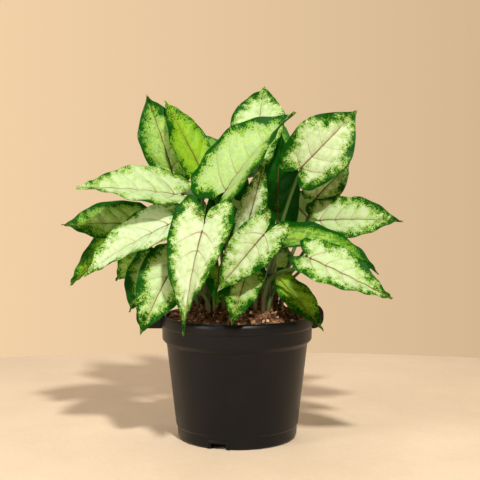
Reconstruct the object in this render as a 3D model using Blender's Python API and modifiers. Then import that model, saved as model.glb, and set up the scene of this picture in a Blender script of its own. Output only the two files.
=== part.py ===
# A potted arrowhead plant: nursery pot, soil, short stems and separate leaves.
# The origin is the centre of the pot's underside, -Y is the front and +Z is up.
# Every size below is in millimetres, and MM turns it into Blender's metres.
import math

import bmesh
import bpy
import numpy as np

MM = 0.001
GAP = 0.3  # clearance between pieces that touch

# Pot: (radius, height) along the outer side and the inside
POT_STEPS = 48
OUTER_SIDE = (
    (61.6, 104.5), (63.6, 103.4), (64.5, 101.0), (64.5, 96.0), (63.5, 95.2), (63.3, 84.2),
    (59.7, 80.4), (51.9, 11.6), (50.9, 10.6), (50.2, 2.2), (48.9, 0.0),
)
UNDERSIDE = ((46.4, 0.0), (46.0, 5.2), (31.5, 5.2), (30.5, 0.0), (0.0, 0.0))
INSIDE = ((0.0, 2.2), (27.0, 2.2), (30.0, 7.4), (49.2, 7.4), (58.0, 80.0), (59.9, 84.2), (60.3, 103.6))
NOTCH_COUNT = 3
NOTCH_WIDTH = 12.5
NOTCH_HEIGHT = 4.9
NOTCH_CIRCLE = 48.5
NOTCH_FIRST_ANGLE = -107.5  # degrees from +X, which puts one notch at the front left
DRAIN_COUNT = 6
DRAIN_RADIUS = 3.6
DRAIN_CIRCLE = 38.5
LUG_THICKNESS = 3.0
LUG_ROOT = 61.8  # inside the rim's wall
LUG_SPAN = (92.0, 113.0)  # heights of its lower and upper edge
LUG_CORNER = 9.0
LUG_REACH = {"left": 85.5, "right": 73.5}  # how far the lug's end lies from the pot's axis

# Soil
SOIL_STEPS = 32
SOIL_EDGE = 100.6  # height beside the rim
SOIL_RISE = 13.5  # how much higher the mound is in the middle
HOLE_DEPTH = 12.0

# Stems: short ringed stumps, with the leaf stalks round them
CROWNS = {
    "front_left": (-17, -21), "front_right": (19, -21), "left": (-31, 7), "right": (32, 5),
    "back_left": (-17, 31), "back_right": (19, 31), "middle": (1, 5),
}
STEM_RADIUS = 3.6
STEM_HEIGHT = 17.0
STALK_CIRCLE = 7.0  # distance of a leaf stalk's foot from its stem's axis

# Leaves
BLADE_THICKNESS = 0.8
STALK_FOOT_RADIUS = 1.9
STALK_END_RADIUS = 1.25
STALK_SEGMENTS = 5
# Half a blade's outline from tip to sinus: (share of the half width, share of the length). The last
# point's width is each leaf's own.
OUTLINE = (
    (0.0, 1.0), (0.13, 0.90), (0.50, 0.71), (0.86, 0.44), (1.0, 0.10), (0.88, -0.22),
    (0.52, -0.38), (0.16, -0.24),
)
RINGS = (0.4, 0.75, 1.0)  # shares of the way from the joint to the outline
RIPPLE = 1.2  # height of the waves in a blade's margin
RIPPLE_WAVES = 2.6  # waves along half a blade's margin
STALK_SINK = (1.2, 0.6)  # how far the stalk's end runs along the blade and above it, so that the two overlap
SMOOTH_ANGLE = 35  # degrees up to which two faces are shaded as one


def leaf(joint, tip, face, width, crown, slot, fold=0.30, arch=5, twist=0, lobe=0.6, sinus=0.16, base=1.0,
         right=1.0, rise=0.4, reach=0.35):
    """One leaf: its joint with the stalk, its tip and the way its upper side looks, in the plant's own
    axes, then the blade's width, the stem it grows at and the stalk's place round it in degrees. fold is
    how steeply each half rises from the midrib, arch how far the midrib bows up, twist the tip's turn in
    degrees, lobe how long the two lobes behind the joint are, sinus how wide the notch between them is,
    base how wide the blade is beside the joint against its middle and right how wide its right half is
    against its left. rise is how far up the stalk leaves its upright start and reach how early it turns
    towards the blade."""
    return dict(joint=joint, tip=tip, face=face, width=width, crown=crown, slot=slot, fold=fold,
                arch=arch, twist=twist, lobe=lobe, sinus=sinus, base=base, right=right, rise=rise,
                reach=reach)


LEAVES = (
    # Upper left, two upright blades and one level one
    leaf((-56, 12, 228), (-78, 26, 291), (0.1, -0.95, 0.25), 48, "left", 90, base=0.7),
    leaf((-28, 4, 222), (-62, 14, 286), (0.35, -0.85, 0.35), 42, "left", 325, fold=0.25, arch=2, base=0.65),
    leaf((-51, -25, 207), (-128, -51, 212), (0.0, -0.6, 0.8), 54, "front_left", 90, fold=0.35, arch=3,
         base=0.85),
    # Left side, reaching out and down
    leaf((-87, 4, 181), (-147, -10, 180), (0.1, -0.85, 0.5), 40, "left", 195, arch=3),
    leaf((-55, -44, 183), (-121, -56, 142), (-0.4, -0.6, 0.7), 52, "front_left", 180, fold=0.35, arch=4),
    leaf((-99, 16, 168), (-143, 6, 128), (-0.4, -0.8, 0.4), 33, "left", 145, arch=3),
    leaf((-76, -16, 155), (-101, -16, 134), (-0.3, -0.9, 0.3), 28, "left", 260, lobe=0.4),
    leaf((-63, -29, 152), (-87, -40, 111), (-0.4, -0.85, 0.3), 40, "front_left", 135, lobe=0.4),
    leaf((-50, -50, 151), (-76, -66, 97), (-0.1, -0.95, 0.3), 44, "front_left", 220),
    # Front, hanging blades and the large one in the middle
    leaf((-27, -78, 179), (-40, -98, 101), (-0.4, -0.85, 0.3), 58, "front_left", 262, fold=0.4, twist=-50,
         lobe=0.9, sinus=0.05, right=0.86),
    leaf((21, -66, 176), (-15, -84, 133), (0.1, -0.9, 0.4), 38, "front_right", 235, lobe=0.9, base=0.9),
    leaf((-9, -46, 210), (47, -38, 273), (-0.5, -0.65, 0.55), 62, "front_left", 40, fold=0.68, right=0.94),
    leaf((8, -38, 180), (22, -30, 233), (0.1, -1.0, 0.1), 23, "middle", 280, fold=0.4),
    leaf((8, -60, 146), (-4, -78, 106), (0.0, -0.9, 0.4), 31, "front_right", 190, fold=0.4),
    leaf((-14, -58, 150), (-16, -68, 119), (0.1, -0.9, 0.3), 23, "front_left", 330, fold=0.4),
    # Top and upper right, upright blades
    leaf((16, 2, 236), (24, 40, 300), (-0.2, -0.8, 0.55), 58, "middle", 45, lobe=0.3, base=0.55),
    leaf((53, -16, 228), (100, -6, 276), (0.1, -1.0, 0.1), 62, "right", 240, fold=0.2, arch=3, lobe=0.5,
         base=0.7),
    leaf((69, 16, 204), (98, 30, 232), (0.1, -0.95, 0.3), 29, "right", 30),
    # Right side, reaching out and down
    leaf((70, 4, 184), (138, -14, 184), (-0.1, -0.8, 0.55), 47, "right", 320, fold=0.25, arch=3, lobe=0.5,
         base=0.85),
    leaf((36, -24, 170), (115, -40, 142), (0.15, -0.5, 0.85), 42, "front_right", 30, arch=11),
    leaf((57, -66, 158), (120, -80, 127), (0.15, -0.7, 0.7), 45, "front_right", 290, fold=0.2, arch=2,
         lobe=0.5, base=0.9, rise=1.0),
    leaf((35, -23, 137), (70, -47, 97), (0.2, -0.75, 0.55), 31, "front_right", 340, fold=0.2, arch=2,
         lobe=0.4, base=0.65),
    # Behind the front leaves, in their shade
    leaf((35, 20, 188), (38, 24, 260), (-0.2, -0.9, 0.1), 46, "middle", 345, base=0.8),
    leaf((-5, 20, 206), (-20, 24, 248), (0.2, -0.9, 0.2), 34, "middle", 120),
    # Back, upright
    leaf((28, 44, 228), (40, 80, 275), (0.2, 0.9, 0.3), 48, "back_right", 190, reach=0.2),
    leaf((-20, 45, 226), (-50, 85, 266), (-0.2, 0.9, 0.3), 48, "back_left", 30, reach=0.2),
    leaf((-48, 48, 206), (-92, 86, 218), (-0.3, 0.5, 0.8), 50, "back_left", 175),
    # Back, reaching out
    leaf((72, 42, 172), (120, 66, 178), (0.2, 0.1, 0.95), 38, "right", 95),
    leaf((52, 54, 197), (84, 104, 150), (0.35, 0.7, 0.6), 48, "back_right", 40),
    leaf((8, 66, 206), (14, 118, 148), (0.05, 0.75, 0.65), 52, "back_right", 135),
    leaf((-27, 67, 190), (-50, 114, 136), (-0.15, 0.75, 0.6), 48, "back_left", 80, lobe=0.45),
    leaf((-64, 50, 180), (-124, 88, 172), (-0.3, 0.3, 0.9), 50, "back_left", 222),
    # Back, hanging low
    leaf((60, 48, 144), (84, 82, 126), (0.5, 0.6, 0.6), 36, "back_right", 345),
    leaf((32, 62, 150), (40, 100, 116), (0.2, 0.8, 0.6), 36, "back_right", 87),
    leaf((-40, 64, 148), (-72, 98, 110), (-0.5, 0.6, 0.6), 38, "back_left", 128),
    # Inside, a young blade in the shade of the front ones
    leaf((-6, -20, 172), (-22, -14, 209), (-0.1, -0.9, 0.3), 34, "middle", 200, arch=2),
)


def unit(vector):
    return vector / np.linalg.norm(vector)


def new_object(name, mesh, collection):
    made = bpy.data.objects.new(name, mesh)
    collection.objects.link(made)
    return made


def material(name, color, roughness):
    made = bpy.data.materials.new(name)
    made.use_nodes = True
    shader = made.node_tree.nodes["Principled BSDF"]
    shader.inputs["Base Color"].default_value = (*color, 1.0)
    shader.inputs["Roughness"].default_value = roughness
    return made


def turned(name, profile, steps, collection):
    """A solid of revolution about +Z, from a profile whose outer side runs from top to bottom."""
    mesh = bpy.data.meshes.new(name)
    points = [(radius * MM, 0.0, height * MM) for radius, height in profile]
    mesh.from_pydata(points, [(i, i + 1) for i in range(len(points) - 1)], [])
    made = new_object(name, mesh, collection)
    screw = made.modifiers.new("Turn", "SCREW")
    screw.steps = screw.render_steps = steps
    screw.use_merge_vertices = True
    screw.merge_threshold = 0.00001
    return made


def apply_modifiers(made):
    """Replaces the object's mesh by its evaluated mesh."""
    bpy.context.view_layer.update()
    graph = bpy.context.evaluated_depsgraph_get()
    mesh = bpy.data.meshes.new_from_object(made.evaluated_get(graph))
    made.modifiers.clear()
    made.data = mesh
    return made


def curve_to_mesh(made, parts):
    """The curve's evaluated mesh with its loose caps welded on, in a new object in the curve's place."""
    bpy.context.view_layer.update()
    graph = bpy.context.evaluated_depsgraph_get()
    mesh = bpy.data.meshes.new_from_object(made.evaluated_get(graph))
    shape = bmesh.new()
    shape.from_mesh(mesh)
    bmesh.ops.remove_doubles(shape, verts=shape.verts, dist=0.000001)
    bmesh.ops.recalc_face_normals(shape, faces=shape.faces)
    shape.to_mesh(mesh)
    shape.free()
    solid = new_object(made.name + "_solid", mesh, parts)
    solid.matrix_world = made.matrix_world
    bpy.data.objects.remove(made)
    return solid


def finish(made, look):
    """Leaves the object with this one material, smooth where its surface is round."""
    made.data.materials.clear()
    made.data.materials.append(look)
    made.data.shade_smooth()
    made.data.set_sharp_from_angle(angle=math.radians(SMOOTH_ANGLE))


def cylinder(name, radius, depth, location, sides, collection, rotation=(0.0, 0.0, 0.0)):
    mesh = bpy.data.meshes.new(name)
    shape = bmesh.new()
    bmesh.ops.create_cone(shape, cap_ends=True, segments=sides, radius1=radius * MM,
                          radius2=radius * MM, depth=depth * MM)
    shape.to_mesh(mesh)
    shape.free()
    made = new_object(name, mesh, collection)
    made.location = [value * MM for value in location]
    made.rotation_euler = rotation
    return made


def block(name, size, location, angle, collection):
    mesh = bpy.data.meshes.new(name)
    shape = bmesh.new()
    bmesh.ops.create_cube(shape, size=1.0)
    bmesh.ops.scale(shape, vec=[value * MM for value in size], verts=shape.verts)
    shape.to_mesh(mesh)
    shape.free()
    made = new_object(name, mesh, collection)
    made.location = [value * MM for value in location]
    made.rotation_euler = (0.0, 0.0, angle)
    return made


def combine(made, others, operation):
    """One Boolean of a collection of objects with the object, applied, and the others then removed."""
    group = bpy.data.collections.new("Boolean operands")
    bpy.context.scene.collection.children.link(group)
    group.hide_render = True
    for other in others:
        group.objects.link(other)
    boolean = made.modifiers.new("Boolean", "BOOLEAN")
    boolean.operation = operation
    boolean.operand_type = "COLLECTION"
    boolean.collection = group
    boolean.solver = "EXACT"
    apply_modifiers(made)
    for other in others:
        bpy.data.objects.remove(other)
    bpy.data.collections.remove(group)
    return made


def soil_height(x, y):
    """Height of the mound: a dome that ends at the rim."""
    share = min(1.0, math.hypot(x, y) / INSIDE[-1][0])
    return SOIL_EDGE + SOIL_RISE * (1.0 - share**2)


def make_lug(side, sign, parts):
    """A rounded plate that stands on edge, with its inner end sunk in the rim's wall."""
    reach, low, high = LUG_REACH[side], *LUG_SPAN
    corners = [(LUG_ROOT, low)]
    for middle_height, first in ((low + LUG_CORNER, -90), (high - LUG_CORNER, 0)):
        for step in range(6):
            angle = math.radians(first + step * 90 / 5)
            corners.append((reach - LUG_CORNER + LUG_CORNER * math.cos(angle),
                            middle_height + LUG_CORNER * math.sin(angle)))
    corners.append((LUG_ROOT, high))
    outline = bpy.data.curves.new(f"lug_{side}", "CURVE")
    outline.dimensions = "2D"
    outline.fill_mode = "BOTH"
    outline.extrude = LUG_THICKNESS / 2 * MM
    line = outline.splines.new("POLY")
    line.points.add(len(corners) - 1)
    for point, (x, z) in zip(line.points, corners):
        point.co = (sign * x * MM, z * MM, 0.0, 1.0)
    line.use_cyclic_u = True
    made = new_object(f"lug_{side}", outline, parts)
    made.rotation_euler = (math.pi / 2, 0.0, 0.0)
    return curve_to_mesh(made, parts)


def make_pot(parts, plastic):
    pot = apply_modifiers(turned("pot", INSIDE + OUTER_SIDE + UNDERSIDE, POT_STEPS, parts))
    combine(pot, [make_lug(side, sign, parts) for side, sign in (("left", -1.0), ("right", 1.0))], "UNION")
    cuts = []
    for step in range(NOTCH_COUNT):
        angle = math.radians(NOTCH_FIRST_ANGLE + step * 360.0 / NOTCH_COUNT)
        place = (NOTCH_CIRCLE * math.cos(angle), NOTCH_CIRCLE * math.sin(angle), NOTCH_HEIGHT / 2 - 2.0)
        cuts.append(block(f"notch_{step}", (9.0, NOTCH_WIDTH, NOTCH_HEIGHT + 4.0), place, angle, parts))
    for step in range(DRAIN_COUNT):
        angle = 2 * math.pi * (step + 0.5) / DRAIN_COUNT
        place = (DRAIN_CIRCLE * math.cos(angle), DRAIN_CIRCLE * math.sin(angle), 6.3)
        cuts.append(cylinder(f"drain_{step}", DRAIN_RADIUS, 6.0, place, 10, parts))
    combine(pot, cuts, "DIFFERENCE")
    finish(pot, plastic)


def make_soil(parts, peat, feet):
    """The mound with a plain round hole for each stalk and stem. feet lists (x, y, radius)."""
    inner = [(max(radius - GAP, 0.0), height + GAP) for radius, height in INSIDE[:-1]]
    edge = inner[-1][0] + (INSIDE[-1][0] - INSIDE[-2][0]) * 0.8
    dome = [(radius, soil_height(radius, 0.0)) for radius in (0.0, 20.0, 36.0, 50.0, edge)]
    soil = apply_modifiers(turned("soil", dome + inner[::-1], SOIL_STEPS, parts))
    holes = []
    for number, (x, y, radius) in enumerate(feet):
        floor = soil_height(x, y) - HOLE_DEPTH
        holes.append(cylinder(f"hole_{number}", radius + GAP, 40.0, (x, y, floor + 20.0), 8, parts))
    combine(soil, holes, "DIFFERENCE")
    finish(soil, peat)


def make_stem(name, x, y, parts, bark):
    """A short stump with two leaf-scar rings and a rounded top."""
    foot = soil_height(x, y) - HOLE_DEPTH + GAP
    top = soil_height(x, y) + STEM_HEIGHT
    rings = [(0.0, top), (STEM_RADIUS - 0.8, top - 0.8)]
    for height in (top - 5.5, top - 11.0):
        rings += [(STEM_RADIUS - 0.5, height + 1.0), (STEM_RADIUS, height)]
    stem = turned(name, rings + [(STEM_RADIUS - 0.3, foot), (0.0, foot)], 10, parts)
    stem.location = (x * MM, y * MM, 0.0)
    finish(apply_modifiers(stem), bark)


def stalk_foot(item):
    x, y = CROWNS[item["crown"]]
    angle = math.radians(item["slot"])
    return x + STALK_CIRCLE * math.cos(angle), y + STALK_CIRCLE * math.sin(angle)


def blade_frame(item):
    """The joint, the length and the three directions of a blade: across, along and up."""
    joint, tip, face = (np.array(item[key], float) for key in ("joint", "tip", "face"))
    length = np.linalg.norm(tip - joint)
    along = (tip - joint) / length
    up = unit(face - along * (face @ along))
    return joint, length, np.cross(along, up), along, up


def blade_surface(item, number):
    """Points and triangles of the blade's middle surface: rays from the joint, one ring after another."""
    joint, length, across, along, up = blade_frame(item)
    half = item["width"] / 2
    outline = np.array(OUTLINE)
    outline[-1, 0] = item["sinus"]
    sides = np.concatenate([outline[:0:-1] * (-1, 1), outline * (item["right"], 1)])
    around = np.concatenate([np.arange(len(outline) - 1, 0, -1), np.arange(len(outline))]) / len(outline)
    ring = np.array(RINGS)[:, None]
    reach = np.where(sides[:, 1] < 0, item["lobe"], 1.0) * sides[:, 1]
    s, t = ring * sides[:, 0], ring * reach
    s = s * (item["base"] + (1.0 - item["base"]) * np.clip(2 * t, 0.0, 1.0))
    bow = item["arch"] * np.where(t > 0, 4 * t * (1 - t), 3.0 * t)
    valley = item["fold"] * half * (np.abs(s) - 0.35 * s**2)
    ripple = RIPPLE * ring**3 * np.sin(2 * math.pi * (RIPPLE_WAVES * around + 0.3 * number) + 1.1 * np.sign(s))
    turn = math.radians(item["twist"]) * t
    x = s * half * np.cos(turn)
    height = bow + valley + ripple + s * half * np.sin(turn)
    grid = joint + x[..., None] * across + (t * length)[..., None] * along + height[..., None] * up
    points = np.vstack([joint, grid.reshape(-1, 3)])
    rays = len(sides)
    triangles = []
    for ray in range(rays - 1):
        triangles.append((0, 2 + ray, 1 + ray))
        for step in range(len(RINGS) - 1):
            a = 1 + step * rays + ray
            b, c, d = a + 1, a + rays, a + rays + 1
            triangles += [(a, b, d), (a, d, c)] if ray < rays // 2 else [(a, b, c), (b, d, c)]
    return points, triangles


def stalk_path(item):
    """Points from the foot straight up to the soil's surface, then along a curve that bends over to the
    blade's joint, with the stalk's radius at each."""
    joint, _, _, along, up = blade_frame(item)
    x, y = stalk_foot(item)
    surface = soil_height(x, y) + 1.0
    foot = np.array((x, y, surface - 1.0 - HOLE_DEPTH + GAP))
    start = np.array((x, y, surface))
    end = joint + STALK_SINK[0] * along + STALK_SINK[1] * up
    arrival = unit(0.7 * up + 0.35 * along + np.array((0.0, 0.0, 0.5)))
    reach = item["reach"] * np.linalg.norm(end - start)
    handles = (start, start + (0.0, 0.0, item["rise"] * (end[2] - start[2])), end - reach * arrival, end)
    share = np.linspace(0.0, 1.0, STALK_SEGMENTS + 1)[:, None]
    weights = ((1 - share) ** 3, 3 * share * (1 - share) ** 2, 3 * share**2 * (1 - share), share**3)
    curve = sum(weight * handle for weight, handle in zip(weights, handles))
    radii = STALK_FOOT_RADIUS + (STALK_END_RADIUS - STALK_FOOT_RADIUS) * share[:, 0]
    return np.vstack([foot, curve]), np.concatenate([[STALK_FOOT_RADIUS], radii])


def make_stalk(name, item, parts):
    """The stalk: a tapered tube on its path."""
    points, radii = stalk_path(item)
    path = bpy.data.curves.new(name, "CURVE")
    path.dimensions = "3D"
    path.bevel_depth = MM
    path.bevel_resolution = 1
    path.use_fill_caps = True
    line = path.splines.new("POLY")
    line.points.add(len(points) - 1)
    for point, place, radius in zip(line.points, points * MM, radii):
        point.co = (*place, 1.0)
        point.radius = radius
    return curve_to_mesh(new_object(name, path, parts), parts)


def make_leaf(name, number, item, parts, green):
    points, triangles = blade_surface(item, number)
    mesh = bpy.data.meshes.new(name)
    mesh.from_pydata((points * MM).tolist(), [], triangles)
    blade = new_object(name, mesh, parts)
    thicken = blade.modifiers.new("Thickness", "SOLIDIFY")
    thicken.thickness = BLADE_THICKNESS * MM
    thicken.offset = 0.0
    apply_modifiers(blade)
    combine(blade, [make_stalk(f"stalk_{number}", item, parts)], "UNION")
    finish(blade, green)


def main():
    for old in list(bpy.data.objects):
        bpy.data.objects.remove(old)
    parts = bpy.data.collections.new("Potted arrowhead plant")
    bpy.context.scene.collection.children.link(parts)

    plastic = material("Black moulded plastic", (0.022, 0.020, 0.019), 0.5)
    peat = material("Coco peat", (0.085, 0.040, 0.022), 0.95)
    bark = material("Stem bark", (0.22, 0.13, 0.06), 0.8)
    green = material("Variegated leaf", (0.45, 0.72, 0.22), 0.45)

    make_pot(parts, plastic)
    feet = [(*stalk_foot(item), STALK_FOOT_RADIUS) for item in LEAVES]
    feet += [(x, y, STEM_RADIUS) for x, y in CROWNS.values()]
    make_soil(parts, peat, feet)
    for name, (x, y) in CROWNS.items():
        make_stem(f"stem_{name}", x, y, parts, bark)
    for number, item in enumerate(LEAVES, 1):
        make_leaf(f"leaf_{number:02d}", number, item, parts, green)


main()
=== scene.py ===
import math
from functools import partial

import bpy
import numpy as np
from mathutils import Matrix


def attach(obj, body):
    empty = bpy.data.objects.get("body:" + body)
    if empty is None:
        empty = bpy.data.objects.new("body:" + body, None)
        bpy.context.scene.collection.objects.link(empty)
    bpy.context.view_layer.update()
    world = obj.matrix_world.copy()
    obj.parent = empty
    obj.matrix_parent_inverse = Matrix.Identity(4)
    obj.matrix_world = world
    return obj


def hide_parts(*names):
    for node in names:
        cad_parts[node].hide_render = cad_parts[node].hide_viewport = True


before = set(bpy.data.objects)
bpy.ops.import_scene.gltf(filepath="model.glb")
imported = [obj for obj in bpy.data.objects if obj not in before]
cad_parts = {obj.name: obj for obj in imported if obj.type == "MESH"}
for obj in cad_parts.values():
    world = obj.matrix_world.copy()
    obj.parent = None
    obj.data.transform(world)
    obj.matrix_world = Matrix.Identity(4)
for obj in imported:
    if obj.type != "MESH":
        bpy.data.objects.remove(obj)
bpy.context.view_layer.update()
millimetre = 0.001
print("Frame loaded:", len(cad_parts), "nodes")

# The camera and the room

view = {
    "place": (0.0025, -0.862, 0.226),
    "tilt": 86.1,  # degrees up from straight down
    "lens": 76.7,  # millimetres, like the sensor's width
    "sensor": 36,
}
lamps = {
    # name: (place, what it points at, side in metres, watts, colour)
    "windowSun": ((0.25, -1.10, 1.30), (0.0, 0.0, 0.15), 0.13, 30.0, "#FFFCF6"),
    "sideFill": ((-1.25, -0.80, 0.60), (0.0, 0.0, 0.14), 0.50, 9.5, "#FFFFFF"),
    "backFill": ((-0.10, 0.95, 1.15), (0.0, 0.0, 0.15), 0.80, 5.0, "#FFFFFF"),
}
room = {
    "floorColour": "#E0CBB0",
    "floorRadius": 1.1,
    "floorMiddle": (0.0, -0.70),
    "floorThickness": 0.03,
    "plasterCloud": 111,  # millimetres across a cloud of tone
    "plasterGrit": 3.85,  # and across the grit, coarser than real so that it shows
    "airColour": "#FFDCB0",
    "airStrength": 0.78,
    "ceiling": 0.32,  # how bright the room is overhead, against its walls
    "nearSide": 0.75,  # behind the camera
    "windowSide": 1.15,  # to the left
    "farSide": 0.84,  # and to the right
}


def toLinear(hexColour):
    # sRGB hex to the linear colour that a socket takes
    coded = np.array([int(hexColour[at:at + 2], 16) for at in (1, 3, 5)]) / 255
    linear = np.where(coded <= 0.04045, coded / 12.92, ((coded + 0.055) / 1.055) ** 2.4)
    return (*linear.tolist(), 1.0)


def addNode(tree, kind, values=None):
    # one node, with a value for each socket or property: another node's output is linked (a node stands
    # for its first output), a hex colour is turned to linear, and anything else is set as it is
    node = tree.nodes.new("ShaderNode" + kind)
    for name, value in (values or {}).items():
        if isinstance(value, str) and value.startswith("#"):
            value = toLinear(value)
        elif isinstance(value, bpy.types.Node):
            value = value.outputs[0]
        if isinstance(value, bpy.types.NodeSocket):
            tree.links.new(value, node.inputs[name])
        elif isinstance(name, int) or name in node.inputs:
            node.inputs[name].default_value = value
        else:
            setattr(node, name, value)
    return node


def newMaterial(name):
    # an empty material, and the function that adds nodes to it
    made = bpy.data.materials.new(name)
    made.use_nodes = True
    made.node_tree.nodes.clear()
    return made, partial(addNode, made.node_tree)


def addCamera():
    # square to the pot's front, looking a little down
    lens = bpy.data.cameras.new("viewLens")
    lens.lens = view["lens"]
    lens.sensor_width = view["sensor"]
    camera = bpy.data.objects.new("viewCamera", lens)
    camera.location = view["place"]
    camera.rotation_euler = (math.radians(view["tilt"]), 0, 0)
    bpy.context.scene.collection.objects.link(camera)
    bpy.context.scene.camera = camera
    bpy.context.scene.view_settings.view_transform = "Standard"


def addLamps():
    # discs, each turned so that it looks from its place at its target
    for name, (place, target, side, watts, colour) in lamps.items():
        lamp = bpy.data.lights.new(name, "AREA")
        lamp.shape = "DISK"
        lamp.size = side
        lamp.energy = watts
        lamp.color = toLinear(colour)[:3]
        holder = bpy.data.objects.new(name, lamp)
        holder.location = place
        away = np.array(place) - np.array(target)
        tilt = math.atan2(math.hypot(away[0], away[1]), away[2])
        holder.rotation_euler = (tilt, 0, math.atan2(away[1], away[0]) + math.pi / 2)
        bpy.context.scene.collection.objects.link(holder)


def makePlaster():
    # Lime plaster, trowelled smooth: matt, with faint clouds of tone and fine grit
    made, add = newMaterial("trowelledLimePlaster")
    where = add("TexCoord").outputs["Object"]
    cloud = add("TexNoise", {"Vector": where, "Scale": 1000 / room["plasterCloud"], "Detail": 6,
                             "Roughness": 0.7})
    grit = add("TexNoise", {"Vector": where, "Scale": 1000 / room["plasterGrit"], "Detail": 3,
                            "Roughness": 0.8})
    light = add("Math", {"operation": "MULTIPLY_ADD", 0: grit, 1: 0.6, 2: cloud})
    light = add("MapRange", {"Value": light, "From Min": 0.4, "From Max": 1.2, "To Min": 0.86,
                             "To Max": 1.1})
    tone = add("HueSaturation", {"Color": room["floorColour"], "Value": light})
    shader = add("BsdfPrincipled", {"Base Color": tone, "Roughness": 0.9})
    add("OutputMaterial", {"Surface": shader})
    return made


def addFloor():
    # a round table top with a soft edge: a disc whose rim is a half circle
    turn = np.linspace(-math.pi / 2, math.pi / 2, 9)
    half = room["floorThickness"] / 2 / millimetre
    radius = room["floorRadius"] / millimetre + half * np.cos(turn)[:, None]
    angle = np.linspace(0, 2 * math.pi, 160, endpoint=False)[None]
    middleX, middleY = (value / millimetre for value in room["floorMiddle"])
    rows = np.stack([middleX + radius * np.cos(angle), middleY + radius * np.sin(angle),
                     half * np.sin(turn)[:, None] - half + 0 * angle], -1)
    newPiece("roomFloor", *closedSkin(rows), [makePlaster()], sharp=60)


def addAir():
    # pale walls all round, brighter at the window's side, with a dimmer ceiling and near side: the strength
    # is a product of three factors, one for each axis of the direction looked in
    world = bpy.data.worlds.new("paleRoom")
    world.use_nodes = True
    sky = world.node_tree
    add = partial(addNode, sky)
    air = sky.nodes["Background"]
    air.inputs["Color"].default_value = toLinear(room["airColour"])
    way = add("TexCoord").outputs["Generated"]
    way = add("SeparateXYZ", {0: way}).outputs
    bright = room["airStrength"]
    height = add("MapRange", {"Value": way["Z"], "From Min": 0.2, "From Max": 0.7, "To Min": bright,
                              "To Max": bright * room["ceiling"]})
    across = add("MapRange", {"Value": way["X"], "From Min": -0.25, "From Max": 0.25,
                              "To Min": room["windowSide"], "To Max": room["farSide"]})
    nearer = add("MapRange", {"Value": way["Y"], "From Min": -0.9, "From Max": 0.1,
                              "To Min": room["nearSide"]})
    strength = add("Math", {"operation": "MULTIPLY", 0: height, 1: across})
    strength = add("Math", {"operation": "MULTIPLY", 0: strength, 1: nearer})
    sky.links.new(strength.outputs[0], air.inputs["Strength"])
    bpy.context.scene.world = world


# Surfaces shared by all pieces


def unit(vectors):
    # each vector divided by its own length
    return vectors / np.linalg.norm(vectors, axis=-1, keepdims=True)


def roundedLine(corners, radius, steps):
    # a line through corners, each one replaced by the quadratic curve (1-u)^2 A + 2u(1-u) P + u^2 B,
    # where P is the corner, and A and B lie the radius away on its two sides, at most 0.45 of a side
    corners = np.array(corners, float)
    middle, before, after = corners[1:-1], corners[:-2] - corners[1:-1], corners[2:] - corners[1:-1]
    start, end = (middle + unit(side) * np.minimum(radius, 0.45 * np.linalg.norm(side, axis=1))[:, None]
                  for side in (before, after))
    u = np.linspace(0, 1, steps)[:, None, None]
    curve = (1 - u) ** 2 * start + 2 * u * (1 - u) * middle + u**2 * end
    return np.vstack([corners[:1], curve.transpose(1, 0, 2).reshape(-1, corners.shape[1]), corners[-1:]])


def closedSkin(rows):
    # a grid of points whose columns run round and join up, closed at both ends by a fan to the mean of
    # that row: a face looks the way of (step along the columns) x (step along the rows)
    count, around = rows.shape[:2]
    points = np.vstack([rows.reshape(-1, 3), rows[0].mean(0), rows[-1].mean(0)])
    column = np.arange(around)
    beside = (column + 1) % around
    base = (np.arange(count - 1) * around)[:, None]
    quads = np.stack([base + column, base + beside, base + around + beside, base + around + column], -1)
    last = (count - 1) * around
    low, high = np.full(around, count * around), np.full(around, count * around + 1)
    fans = np.vstack([np.stack([low, beside, column], -1),
                      np.stack([high, last + column, last + beside], -1)])
    return points, quads.reshape(-1, 4).tolist() + fans.tolist()


def tubeRows(path, radii, sides):
    # circles of the given radii round the points of a path, each square to it: centre + r (cos a * side +
    # sin a * other), where side is square to the tangent and to the thin direction of the whole path
    tangent = unit(np.gradient(path, axis=0))
    thin = np.linalg.svd(path - path.mean(0))[2][2]
    side = unit(np.cross(tangent, thin))
    other = np.cross(tangent, side)
    angle = np.linspace(0, 2 * math.pi, sides, endpoint=False)[None, :, None]
    ring = np.cos(angle) * side[:, None] + np.sin(angle) * other[:, None]
    return path[:, None] + ring * np.broadcast_to(radii, len(path))[:, None, None]


def joinSkins(skins):
    # several (points, faces) as one, the faces renumbered
    points, faces, first = [], [], 0
    for skinPoints, skinFaces in skins:
        points.append(skinPoints)
        faces += [[first + corner for corner in face] for face in skinFaces]
        first += len(skinPoints)
    return np.vstack(points), faces


def newPiece(name, points, faces, materials, slots=None, sharp=None):
    # a piece from points in millimetres, with its attribute layers added by the caller
    mesh = bpy.data.meshes.new(name)
    mesh.from_pydata((points * millimetre).tolist(), [], faces)
    for material in materials:
        mesh.materials.append(material)
    if slots is not None:
        mesh.polygons.foreach_set("material_index", slots)
    mesh.shade_smooth()
    if sharp:
        mesh.set_sharp_from_angle(angle=math.radians(sharp))
    piece = bpy.data.objects.new(name, mesh)
    bpy.context.scene.collection.objects.link(piece)
    return piece


def addLayer(piece, name, kind, values):
    # one value or vector for each point, for a material to read by its name
    layer = piece.data.attributes.new(name, kind, "POINT")
    field = "vector" if kind == "FLOAT_VECTOR" else "value"
    layer.data.foreach_set(field, np.asarray(values, np.float32).ravel())


def place(piece, slot, *nodes):
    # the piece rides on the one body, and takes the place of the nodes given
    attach(piece, "root")
    if nodes:
        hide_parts(*nodes)


addCamera()
addLamps()
addFloor()
addAir()
print("Camera, lamps and floor set")

# The pot: black moulded polypropylene with a stepped lip, a foot ring with three notches and two lugs

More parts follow.
